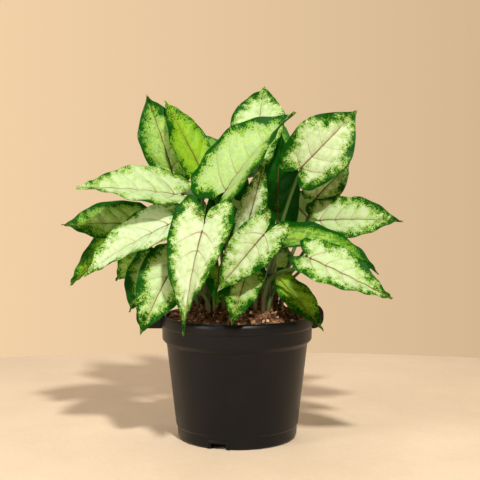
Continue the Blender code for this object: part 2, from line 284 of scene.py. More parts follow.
pot = {
    "around": 240,
    "cornerRadius": 0.9,
    "cornerSteps": 5,
    # (radius, height) from the middle of the underside, up the outer side, over the lip and down inside
    "profile": (
        (0, 0), (30.5, 0), (31.5, 5.2), (46.0, 5.2), (46.4, 0), (48.9, 0), (50.2, 2.2), (50.9, 10.6),
        (51.9, 11.6), (59.7, 80.4), (63.3, 84.2), (63.5, 95.2), (64.5, 96.0), (64.5, 101.0),
        (63.6, 103.4), (61.6, 104.5), (60.3, 103.6), (59.9, 84.2), (58.0, 80.0), (49.2, 7.4),
        (30.0, 7.4), (27.0, 2.2), (0, 2.2),
    ),
    "notchAngles": (-107.5, 12.5, 132.5),
    "notchHalf": 7.4,  # degrees to each side
    "notchHeight": 4.9,
    "footInside": 46.01,  # the notches cut only what lies further out
    "frameGap": 2.2,  # from a notch to its raised surround
    "frameRadius": 0.7,
    "frameFoot": 0.8,  # height at which the surround's two ends begin
    "frameCorner": 2.0,
    "footRadius": 50.4,  # where a surround's width is measured
    "footWall": (50.1, 0.07),  # the wall's radius at the table, and its growth for each millimetre up
    "drainRadius": 3.6,
    "drainCircle": 38.5,
    "drainHeights": (4.0, 6.0, 9.0),  # the borer's, through the floor
    "lugRoot": 61.8,
    "lugReach": {-1: 85.5, 1: 73.5},
    "lugSpan": (92, 113),
    "lugCorner": 9,
    "lugThickness": 3,
    "lugRounding": 0.8,
    "colour": "#03060B",
    "dustColour": "#2C2C2E",
    "roughness": 0.34,
    "grain": 1.4,  # millimetres between the mould's marks: 0.35 on the real one, too fine to show
    "cloud": 26.3,  # millimetres across a cloud of dust
    "dust": 0.13,
    "dustHeights": (0.078, 0.104),  # metres: it thickens from the one to the other
}


def makePlastic():
    # Polypropylene, injection moulded, with carbon black: satin, with soft broad highlights, fine mould
    # grain and a thin film of peat dust, in clouds, that is thickest at the lip
    made, add = newMaterial("mouldedPolypropylene")
    where = add("TexCoord").outputs["Object"]
    height = add("SeparateXYZ", {0: where}).outputs["Z"]
    cloud = add("TexNoise", {"Vector": where, "Scale": 1000 / pot["cloud"], "Detail": 5, "Roughness": 0.6})
    grain = add("TexNoise", {"Vector": where, "Scale": 1000 / pot["grain"], "Detail": 2})
    low, high = pot["dustHeights"]
    lip = add("MapRange", {"Value": height, "From Min": low, "From Max": high, "To Max": 0.2})
    dusty = add("MapRange", {"Value": cloud, "From Min": 0.45, "From Max": 0.75, "To Max": 0.55})
    dusty = add("Math", {"operation": "MULTIPLY_ADD", 0: lip, 1: 0.5, 2: dusty})
    dusty = add("Math", {"operation": "MULTIPLY", 0: dusty, 1: pot["dust"], "use_clamp": True})
    colour = add("Mix", {"data_type": "RGBA", 0: dusty, 6: pot["colour"], 7: pot["dustColour"]}).outputs[2]
    shine = add("MapRange", {"Value": cloud, "To Min": pot["roughness"] - 0.06,
                             "To Max": pot["roughness"] + 0.12})
    bump = add("Bump", {"Height": grain, "Strength": 0.12, "Distance": 0.0002})
    shader = add("BsdfPrincipled", {"Base Color": colour, "Roughness": shine, "IOR": 1.49,
                                    "Specular IOR Level": 0.26, "Normal": bump})
    add("OutputMaterial", {"Surface": shader})
    return made


def potRows():
    # the profile turned about +Z: (r cos a, r sin a, h). Where a lies in a notch, the foot ring's lower
    # edge is lifted to the notch's height, and two close columns at each side make the notch's wall
    profile = roundedLine(pot["profile"], pot["cornerRadius"], pot["cornerSteps"])[1:-1]
    edges = [middle + side * (pot["notchHalf"] + off) for middle in pot["notchAngles"] for side in (-1, 1)
             for off in (-0.04, 0.04)]
    step = 360 / pot["around"]
    plain = np.arange(0, 360, step)
    near = np.min(np.abs((plain[:, None] - np.array(edges) + 180) % 360 - 180), axis=1)
    degrees = np.sort(np.concatenate([plain[near > step / 3], np.array(edges) % 360]))
    off = np.abs((degrees[:, None] - np.array(pot["notchAngles"]) + 180) % 360 - 180).min(1)
    radius, height = profile[:, :1], profile[:, 1:]
    cut = (off[None] < pot["notchHalf"]) & (radius > pot["footInside"]) & (height < pot["notchHeight"])
    height = np.where(cut, pot["notchHeight"], height)
    angle = np.radians(degrees)[None]
    return np.stack([radius * np.cos(angle), radius * np.sin(angle), height + 0 * angle], -1)


def lugRows(sign):
    # a flat plate on edge: its outline (rounded outer corners) at six depths, drawn in by
    # b (1 - sqrt(1 - d^2)) at both faces, where b is the rounding and d the depth's share beyond the flat
    low, high = pot["lugSpan"]
    reach, corner = pot["lugReach"][sign], pot["lugCorner"]
    turn = np.radians(np.linspace(-90, 0, 9))
    outer = np.concatenate([np.stack([reach - corner + corner * np.cos(turn + lift),
                                      middle + corner * np.sin(turn + lift)], -1)
                            for middle, lift in ((low + corner, 0), (high - corner, math.pi / 2))])
    outline = np.vstack([[(pot["lugRoot"], low)], outer, [(pot["lugRoot"], high)]])
    centre = outline.mean(0)
    depth = np.array([-1.0, -0.9, -0.6, 0.6, 0.9, 1.0])
    beyond = np.clip(np.abs(depth) - 0.6, 0, None) / 0.4
    inset = pot["lugRounding"] * (1 - np.sqrt(1 - beyond**2))
    ring = outline[None] - unit(outline - centre)[None] * inset[:, None, None]
    y = np.broadcast_to((-sign * depth * pot["lugThickness"] / 2)[:, None], ring.shape[:2])
    return np.stack([sign * ring[..., 0], y, ring[..., 1]], -1)


def frameRows(middle):
    # a raised bead round a notch: up one side, over it and down the other, on the foot's wall
    foot, (wallRadius, slope) = pot["footRadius"], pot["footWall"]
    wide = (math.radians(pot["notchHalf"]) + pot["frameGap"] / foot) * foot
    low, high = pot["frameFoot"], pot["notchHeight"] + pot["frameGap"]
    line = roundedLine([(-wide, low), (-wide, high), (wide, high), (wide, low)], pot["frameCorner"], 6)
    angle = math.radians(middle) + line[:, 0] / foot
    radius = wallRadius + line[:, 1] * slope
    path = np.stack([radius * np.cos(angle), radius * np.sin(angle), line[:, 1]], -1)
    return tubeRows(path, pot["frameRadius"], 8)


def boreDrains(shell, plastic):
    # six straight rods, a sixth of a turn apart, taken out of the shell's floor
    rods = []
    for angle in (np.arange(6) + 0.5) * math.pi / 3:
        x, y = pot["drainCircle"] * math.cos(angle), pot["drainCircle"] * math.sin(angle)
        path = np.array([(x, y, height) for height in pot["drainHeights"]])
        rods.append(closedSkin(tubeRows(path, pot["drainRadius"], 24)))
    borer = newPiece("potBorer", *joinSkins(rods), [plastic])
    holes = shell.modifiers.new("drainHoles", "BOOLEAN")
    holes.operation = "DIFFERENCE"
    holes.object = borer
    holes.solver = "EXACT"
    bpy.context.view_layer.update()
    bored = bpy.data.meshes.new_from_object(shell.evaluated_get(bpy.context.evaluated_depsgraph_get()))
    shell.modifiers.clear()
    shell.data = bored
    bored.name = "potShell"
    bored.set_sharp_from_angle(angle=math.radians(50))
    bpy.data.objects.remove(borer)


def makePot(plastic):
    # the bored shell, then the lugs and the beads round the notches as one piece
    shell = newPiece("potShell", *closedSkin(potRows()), [plastic], sharp=50)
    boreDrains(shell, plastic)
    place(shell, "black_plastic", "pot")
    skins = [closedSkin(lugRows(sign)) for sign in (-1, 1)]
    skins += [closedSkin(frameRows(middle)) for middle in pot["notchAngles"]]
    place(newPiece("potLugs", *joinSkins(skins), [plastic], sharp=40), "black_plastic")


makePot(makePlastic())
print("Pot made")

# The soil: a mound of coco peat with coir chips

soil = {
    # (radius, height) of its underside and side, from the middle of the pot's floor up to its lip band
    "side": ((26.6, 2.6), (29.6, 7.8), (48.8, 7.8), (57.6, 80.3), (59.5, 84.4)),
    "edge": 100.6,
    "rise": 13.5,
    "rim": 60.0,
    "dome": 60.3,  # radius at which the dome's height is down to the edge's
    "rings": 84,
    "around": 230,
    "grainHeight": 0.75,
    "chips": 1500,
    "chipSize": (0.9, 2.6),
    "chipCircle": 58.5,
    "seed": 11,
    "colour": "#523524",
    "paleColour": "#B08660",
    "chipColours": ("#2E1A10", "#85593A", "#DCB48C"),
    "grain": 1.6,  # millimetres across a crumb
    "clump": 2.38,  # and across a patch of dark or pale crumbs
    "fibre": 1.11,  # and across a chip's bundle of fibres
}


def soilHeight(radius):
    # a dome: edge + rise (1 - (r / R)^2)
    return soil["edge"] + soil["rise"] * (1 - (np.minimum(radius, soil["dome"]) / soil["dome"]) ** 2)


def makePeat():
    # Coco peat, pressed by hand: dark damp crumbs with paler fibre ends, fully matt
    made, add = newMaterial("dampCocoPeat")
    where = add("TexCoord").outputs["Object"]
    crumbs = add("TexVoronoi", {"Vector": where, "Scale": 1000 / soil["grain"]})
    clump = add("TexNoise", {"Vector": where, "Scale": 1000 / soil["clump"], "Detail": 5,
                             "Roughness": 0.7})
    tone = add("MapRange", {"Value": clump, "From Min": 0.42, "From Max": 0.72})
    colour = add("Mix", {"data_type": "RGBA", 0: tone, 6: soil["colour"],
                         7: soil["paleColour"]}).outputs[2]
    bump = add("Bump", {"Height": crumbs.outputs["Distance"], "Strength": 0.9, "Distance": 0.0012,
                        "invert": True})
    shader = add("BsdfPrincipled", {"Base Color": colour, "Roughness": 0.95, "IOR": 1.4, "Normal": bump})
    add("OutputMaterial", {"Surface": shader})
    return made


def makeChips():
    # Coir chips, cut husk: from nearly black where damp to pale tan where dry, by each chip's own shade
    made, add = newMaterial("cutCoirChips")
    where = add("TexCoord").outputs["Object"]
    shade = add("Attribute", {"attribute_name": "chipShade"}).outputs["Fac"]
    fibre = add("TexNoise", {"Vector": where, "Scale": 1000 / soil["fibre"], "Detail": 3})
    mixed = add("Math", {"operation": "MULTIPLY_ADD", 0: fibre, 1: 0.3, 2: shade})
    ramp = add("ValToRGB", {0: mixed})
    stops = ramp.color_ramp.elements
    stops[0].position, stops[1].position = 0.25, 1.15 / 1.3
    stops.new(0.62)
    for stop, colour in zip(stops, soil["chipColours"]):
        stop.color = toLinear(colour)
    bump = add("Bump", {"Height": fibre, "Strength": 0.6, "Distance": 0.0004})
    shader = add("BsdfPrincipled", {"Base Color": ramp, "Roughness": 0.85, "IOR": 1.4, "Normal": bump})
    add("OutputMaterial", {"Surface": shader})
    return made


def soilRows(chance):
    # the side's profile turned about +Z, then rings of the mound inwards: height = the dome + a slow swell
    # sin(x / 5.1 + 1.3) cos(y / 6.3) + 0.6 sin((x - y) / 3.7) + random crumbs, both fading at the rim
    side = np.array(soil["side"])
    share = np.linspace(1, 0.012, soil["rings"])
    radius = np.concatenate([side[:, 0], soil["rim"] * share])[:, None]
    angle = np.linspace(0, 2 * math.pi, soil["around"], endpoint=False)[None]
    crumbs = chance.normal(0, 1, (soil["rings"], soil["around"]))
    crumbs = crumbs + np.roll(crumbs, 1, 1) + np.roll(crumbs, 1, 0)
    x, y = soil["rim"] * share[:, None] * np.cos(angle), soil["rim"] * share[:, None] * np.sin(angle)
    swell = np.sin(x / 5.1 + 1.3) * np.cos(y / 6.3) + 0.6 * np.sin((x - y) / 3.7)
    fade = np.clip((1 - share) * 14, 0.25, 1)[:, None] * np.clip(share * 12, 0, 1)[:, None]
    relief = soil["grainHeight"] * 0.55 * crumbs + 0.7 * swell
    top = soilHeight(soil["rim"] * share)[:, None] + fade * relief
    height = np.vstack([np.repeat(side[:, 1:], soil["around"], 1), top])
    return np.stack([radius * np.cos(angle), radius * np.sin(angle), height], -1)


def roughStone():
    # the 12 corners and 20 faces of an icosahedron, its faces turned outwards
    golden = (1 + 5**0.5) / 2
    corners = np.array([(a, b * golden, 0) for a in (-1, 1) for b in (-1, 1)])
    corners = unit(np.vstack([corners, np.roll(corners, 1, 1), np.roll(corners, 2, 1)]))
    near = np.linalg.norm(corners[:, None] - corners[None], axis=-1) < 1.2
    faces = []
    for face in ((i, j, k) for i in range(12) for j in range(i) for k in range(j)):
        i, j, k = face
        if near[i, j] and near[j, k] and near[i, k]:
            outward = np.dot(np.cross(corners[j] - corners[i], corners[k] - corners[i]), corners[i]) > 0
            faces.append(face if outward else face[::-1])
    return corners, faces


def chipSkin(chance):
    # one rough stone, repeated at random places on the mound with its own size, stretch and turn:
    # corner = place + turn (size * stretch * corner)
    corners, faces = roughStone()
    count = soil["chips"]
    radius = soil["chipCircle"] * np.sqrt(chance.uniform(0, 1, count))
    angle = chance.uniform(0, 2 * math.pi, count)
    size = chance.uniform(*soil["chipSize"], count) ** 1.1
    height = soilHeight(radius) + 0.35 * size
    where = np.stack([radius * np.cos(angle), radius * np.sin(angle), height], -1)
    turn = np.linalg.qr(chance.normal(0, 1, (count, 3, 3)))[0]
    turn *= np.sign(np.linalg.det(turn))[:, None, None]
    stretch = chance.uniform(0.45, 1.0, (count, 1, 3)) * size[:, None, None]
    rough = corners[None] * chance.uniform(0.75, 1.15, (count, 12, 1)) * stretch
    points = where[:, None] + rough @ turn.transpose(0, 2, 1)
    every = (np.array(faces)[None] + 12 * np.arange(count)[:, None, None]).reshape(-1, 3)
    shade = np.repeat(chance.beta(1.6, 3.0, count), 12)
    return points.reshape(-1, 3), every.tolist(), shade


def makeSoil():
    # the mound, then the loose chips on it, each with its own shade
    chance = np.random.default_rng(soil["seed"])
    mound = newPiece("soilMound", *closedSkin(soilRows(chance)), [makePeat()])
    place(mound, "coco_peat", "soil")
    points, faces, shade = chipSkin(chance)
    chips = newPiece("soilChips", points, faces, [makeChips()], sharp=40)
    addLayer(chips, "chipShade", "FLOAT", shade)
    place(chips, "coco_peat")


makeSoil()
print("Soil made")

# The stems: short stumps with leaf scars

stems = {
    "crowns": {
        "FrontLeft": (-17, -21), "FrontRight": (19, -21), "Left": (-31, 7), "Right": (32, 5),
        "BackLeft": (-17, 31), "BackRight": (19, 31), "Middle": (1, 5),
    },
    "radius": 3.6,
    "height": 17,
    "depth": 11,
    "scars": (4.5, 8.5, 12.5),  # below the top
    "scarRise": 0.5,
    "topRounding": 1.8,
    "sides": 20,
    "colour": "#7E5A34",
    "ringColour": "#3A2417",
    "fibre": 1.11,  # millimetres across a fibre of the bark, and four times that along it
}


def makeBark():
    # Syngonium stem, dried outside: tan bark, lightly fibrous, with darker leaf scars every few millimetres
    made, add = newMaterial("scarredStemBark")
    where = add("TexCoord").outputs["Object"]
    ring = add("Attribute", {"attribute_name": "stemScar"}).outputs["Fac"]
    long = add("Mapping", {"Vector": where, "Scale": (1.0, 1.0, 0.25)})
    fibre = add("TexNoise", {"Vector": long, "Scale": 1000 / stems["fibre"], "Detail": 4})
    amount = add("Math", {"operation": "MULTIPLY_ADD", 0: fibre, 1: 0.7, 2: ring, "use_clamp": True})
    colour = add("Mix", {"data_type": "RGBA", 0: amount, 6: stems["colour"],
                         7: stems["ringColour"]}).outputs[2]
    bump = add("Bump", {"Height": fibre, "Strength": 0.5, "Distance": 0.0004})
    shader = add("BsdfPrincipled", {"Base Color": colour, "Roughness": 0.75, "Normal": bump})
    add("OutputMaterial", {"Surface": shader})
    return made


def makeStem(name, x, y, bark):
    # a tube up the stem's axis: its radius swells at each scar, by exp(-(distance / 0.9)^2) of the rise,
    # and ends in a quarter circle at the top
    surface = float(soilHeight(math.hypot(x, y)))
    height = np.linspace(surface - stems["depth"], surface + stems["height"], 60)
    below = height[-1] - height
    nearest = np.abs(below[:, None] - np.array(stems["scars"])).min(1)
    swelling = stems["scarRise"] * (np.exp(-(nearest / 0.9) ** 2) - 1)
    top = np.sqrt(1 - np.clip(1 - below / stems["topRounding"], 0, 0.97) ** 2)
    lean = 0.5 * np.sin(below / 6.0 + x)
    path = np.stack([x + lean, y + 0 * lean, height], -1)
    points, faces = closedSkin(tubeRows(path, (stems["radius"] + swelling) * top, stems["sides"]))
    stem = newPiece(name, points, faces, [bark])
    scar = np.repeat(np.exp(-(nearest / 0.5) ** 2), stems["sides"])
    addLayer(stem, "stemScar", "FLOAT", np.append(scar, (0.0, 0.0)))
    return stem


bark = makeBark()
for crown, (x, y) in stems["crowns"].items():
    node = "stem" + "".join("_" + letter.lower() if letter.isupper() else letter for letter in crown)
    place(makeStem("stem" + crown, x, y, bark), "stem_bark", node)
print("Stems made")

# The leaves

leaf = {
    "halfSteps": 56,
    "rings": 22,
    "thickness": 0.55,
    "stalkCircle": 7.0,
    "stalkRadii": (1.9, 1.25),
    "stalkDepth": 9,  # in the soil
    "stalkSteps": 30,
    "stalkSides": 12,
    # half a blade's outline from tip to sinus: (share of the half width, share of the length)
    "outline": ((0, 1), (0.13, 0.90), (0.50, 0.71), (0.86, 0.44), (1.0, 0.10), (0.88, -0.22),
                (0.52, -0.38), (0.16, -0.24)),
    "ripple": 1.2,  # height of the margin's long waves
    "rippleWaves": 2.6,
    "fineRipple": 0.9,  # height of its short waves
    "wobble": 0.022,  # share by which the margin runs in and out
    "groove": 1.1,  # depth along the midrib
    "quilt": 0.9,  # depth along the side veins
    "keel": 0.75,  # how far the midrib stands out below
    "veinStep": 0.19,  # share of the length between two side veins
    "veinRise": 0.34,  # how much nearer the tip a side vein ends than it starts
    "patternOffset": 3.7,  # between one leaf's markings and the next one's
    "cream": "#E4F0CE",
    "lime": "#A0CE2C",
    "green": "#4E9C08",
    "dark": "#0E6803",
    "deep": "#083E00",
    "rib": "#7A4234",
    "paleRib": "#B0785C",
    "under": "#5C9440",
    "glow": "#DCFF82",  # what light takes on where it shines through
    "translucent": 0.35,
    # the stalk's green and pink, both darkened as painted shade
    "stalkGreenWithPaintedShade": "#3A6222",
    "stalkPinkWithPaintedShade": "#66442E",
    "stalkCloud": 11.1,  # millimetres across a cloud of the flush
    "cell": 0.385,  # millimetres across the skin's fine bumps
    # millimetres across a spot of each of the markings' noises, and the noise's other settings
    "cloud": (16.667, {"Detail": 2}),
    "patch": (4.1667, {"Detail": 3, "Roughness": 0.6}),
    "speck": (1.1111, {"Detail": 2, "Roughness": 0.65}),
    # millimetres by which each, and the leaf's mottle, moves the bands: the noises' mean adds 31. The
    # mottle is partly the leaf's own marking and partly painted shade, wholly so on the dark inner leaves
    "pushes": (18.0, 14.0, 30.0, -6.0),
    "tipPush": {"From Min": 0.84, "From Max": 1.0, "To Min": 1.6, "To Max": 6.0},
    # where the dark, the green, the lime and the dark dots give way, in millimetres from the margin
    "darkBand": {"From Min": 31.6, "From Max": 32.4, "To Min": 1.0, "To Max": 0.0},
    "greenBand": {"From Min": 31.5, "From Max": 35.0, "To Min": 0.95, "To Max": 0.0},
    "limeBand": {"From Min": 32.5, "From Max": 39.0},
    "dotBand": {"From Min": 33.0, "From Max": 45.0, "To Min": 1.0, "To Max": 0.0},
    "dot": {"From Min": 0.56, "From Max": 0.60},  # how much speck noise makes a dark dot
    "blotch": {"From Min": 0.51, "From Max": 0.56},  # and how much patch noise a green blotch
    # how much less cream there is where the patch noise is low
    "limePatch": {"From Min": 0.38, "From Max": 0.62, "To Min": 0.34, "To Max": 0.0},
    # centimetres of the coloured midrib's half width, from the joint to the tip
    "ribHalf": {"To Min": 0.08, "To Max": 0.03},
}


def newLeaf(joint, tip, face, width, crown, slot, cream=0.8, mottleAndPaintedShade=0.3, fold=0.30, arch=5, twist=0,
            lobe=0.6, sinus=0.16, base=1.0, right=1.0, rise=0.4, reach=0.35):
    # joint, tip and the way the upper side looks, the width, the stem and the stalk's place round it in
    # degrees, then how pale the middle is, how dark the margin is, and the form's own numbers. On some
    # leaves the paleness is raised as painted light and the darkness as painted shade
    return dict(joint=joint, tip=tip, face=face, width=width, crown=crown, slot=slot, cream=cream,
                mottleAndPaintedShade=mottleAndPaintedShade, fold=fold, arch=arch, twist=twist, lobe=lobe, sinus=sinus, base=base,
                right=right, rise=rise, reach=reach)


leaves = (
    newLeaf((-56, 12, 228), (-78, 26, 291), (0.1, -0.95, 0.25), 48, "Left", 90, 0.45, 0.8, base=0.7),
    newLeaf((-28, 4, 222), (-62, 14, 286), (0.35, -0.85, 0.35), 42, "Left", 325, 0.12, 0.35, fold=0.25,
            arch=2, base=0.65),
    newLeaf((-51, -25, 207), (-128, -51, 212), (0, -0.6, 0.8), 54, "FrontLeft", 90, 0.8, 0.15, fold=0.35,
            arch=3, base=0.85),
    # little cream and a heavy mottle: partly the leaf's own colour, partly painted shade from the leaf
    # above
    newLeaf((-87, 4, 181), (-147, -10, 180), (0.1, -0.85, 0.5), 40, "Left", 195, 0.5, 0.85, arch=3),
    newLeaf((-55, -44, 183), (-121, -56, 142), (-0.4, -0.6, 0.7), 52, "FrontLeft", 180, 1.0, 0.05,
            fold=0.35, arch=4),
    # almost no cream: the leaf's own dark green, deepened as painted shade
    newLeaf((-99, 16, 168), (-143, 6, 128), (-0.4, -0.8, 0.4), 33, "Left", 145, 0.1, 0.8, arch=3),
    newLeaf((-76, -16, 155), (-101, -16, 134), (-0.3, -0.9, 0.3), 28, "Left", 260, 0.4, 0.7, lobe=0.4),
    # this leaf and the next have more cream than their own, as painted light where other leaves shade them
    newLeaf((-63, -29, 152), (-87, -40, 111), (-0.4, -0.85, 0.3), 40, "FrontLeft", 135, 0.65, 0.8,
            lobe=0.4),
    newLeaf((-50, -50, 151), (-76, -66, 97), (-0.1, -0.95, 0.3), 44, "FrontLeft", 220, 0.85, 0.8),
    newLeaf((-27, -78, 179), (-40, -98, 101), (-0.4, -0.85, 0.3), 58, "FrontLeft", 262, 1.0, 0.6,
            fold=0.4, twist=-50, lobe=0.9, sinus=0.05, right=0.86),
    newLeaf((21, -66, 176), (-15, -84, 133), (0.1, -0.9, 0.4), 38, "FrontRight", 235, 0.9, 0.2, lobe=0.9,
            base=0.9),
    newLeaf((-9, -46, 210), (47, -38, 273), (-0.5, -0.65, 0.55), 62, "FrontLeft", 40, 0.65, 0.75,
            fold=0.68, right=0.94),
    # cream above 1 and almost no mottle: painted light against the shadow of the leaf above
    newLeaf((8, -38, 180), (22, -30, 233), (0.1, -1.0, 0.1), 23, "Middle", 280, 1.1, 0.1, fold=0.4),
    newLeaf((8, -60, 146), (-4, -78, 106), (0, -0.9, 0.4), 31, "FrontRight", 190, 0.7, 0.6, fold=0.4),
    newLeaf((-14, -58, 150), (-16, -68, 119), (0.1, -0.9, 0.3), 23, "FrontLeft", 330, 0.3, 0.8, fold=0.4),
    newLeaf((16, 2, 236), (24, 40, 300), (-0.2, -0.8, 0.55), 58, "Middle", 45, 0.85, 0.3, lobe=0.3,
            base=0.55),
    newLeaf((53, -16, 228), (100, -6, 276), (0.1, -1.0, 0.1), 62, "Right", 240, 1.0, 0.65, fold=0.2,
            arch=3, lobe=0.5, base=0.7),
    newLeaf((69, 16, 204), (98, 30, 232), (0.1, -0.95, 0.3), 29, "Right", 30, 0.9, 0.4),
    newLeaf((70, 4, 184), (138, -14, 184), (-0.1, -0.8, 0.55), 47, "Right", 320, 0.85, 0.5, fold=0.25,
            arch=3, lobe=0.5, base=0.85),
    newLeaf((36, -24, 170), (115, -40, 142), (0.15, -0.5, 0.85), 42, "FrontRight", 30, 0.35, 1.1,
            arch=11),
    newLeaf((57, -66, 158), (120, -80, 127), (0.15, -0.7, 0.7), 45, "FrontRight", 290, 0.85, 0.45,
            fold=0.2, arch=2, lobe=0.5, base=0.9, rise=1.0),
    newLeaf((35, -23, 137), (70, -47, 97), (0.2, -0.75, 0.55), 31, "FrontRight", 340, 0.2, 0.45, fold=0.2,
            arch=2, lobe=0.4, base=0.65),
    # this leaf, the next and the last are dark all over, with no cream and a mottle far above 1: painted
    # shade deep among the other leaves
    newLeaf((35, 20, 188), (38, 24, 260), (-0.2, -0.9, 0.1), 46, "Middle", 345, 0.0, 3.6, base=0.8),
    newLeaf((-5, 20, 206), (-20, 24, 248), (0.2, -0.9, 0.2), 34, "Middle", 120, 0.0, 2.6),
    newLeaf((28, 44, 228), (40, 80, 275), (0.2, 0.9, 0.3), 48, "BackRight", 190, 0.3, 0.8, reach=0.2),
    newLeaf((-20, 45, 226), (-50, 85, 266), (-0.2, 0.9, 0.3), 48, "BackLeft", 30, 0.5, 0.8, reach=0.2),
    newLeaf((-48, 48, 206), (-92, 86, 218), (-0.3, 0.5, 0.8), 50, "BackLeft", 175, 0.6, 0.4),
    newLeaf((72, 42, 172), (120, 66, 178), (0.2, 0.1, 0.95), 38, "Right", 95, 0.8, 0.3),
    newLeaf((52, 54, 197), (84, 104, 150), (0.35, 0.7, 0.6), 48, "BackRight", 40, 0.9, 0.25),
    newLeaf((8, 66, 206), (14, 118, 148), (0.05, 0.75, 0.65), 52, "BackRight", 135, 0.8, 0.4),
    newLeaf((-27, 67, 190), (-50, 114, 136), (-0.15, 0.75, 0.6), 48, "BackLeft", 80, 0.5, 0.5, lobe=0.45),
    newLeaf((-64, 50, 180), (-124, 88, 172), (-0.3, 0.3, 0.9), 50, "BackLeft", 222, 0.9, 0.2),
    newLeaf((60, 48, 144), (84, 82, 126), (0.5, 0.6, 0.6), 36, "BackRight", 345, 0.3, 0.7),
    newLeaf((32, 62, 150), (40, 100, 116), (0.2, 0.8, 0.6), 36, "BackRight", 87, 0.6, 0.5),
    newLeaf((-40, 64, 148), (-72, 98, 110), (-0.5, 0.6, 0.6), 38, "BackLeft", 128, 0.4, 0.6),
    # dark all over like leaves 23 and 24: painted shade among the leaves
    newLeaf((-6, -20, 172), (-22, -14, 209), (-0.1, -0.9, 0.3), 34, "Middle", 200, 0.0, 2.8, arch=2),
)


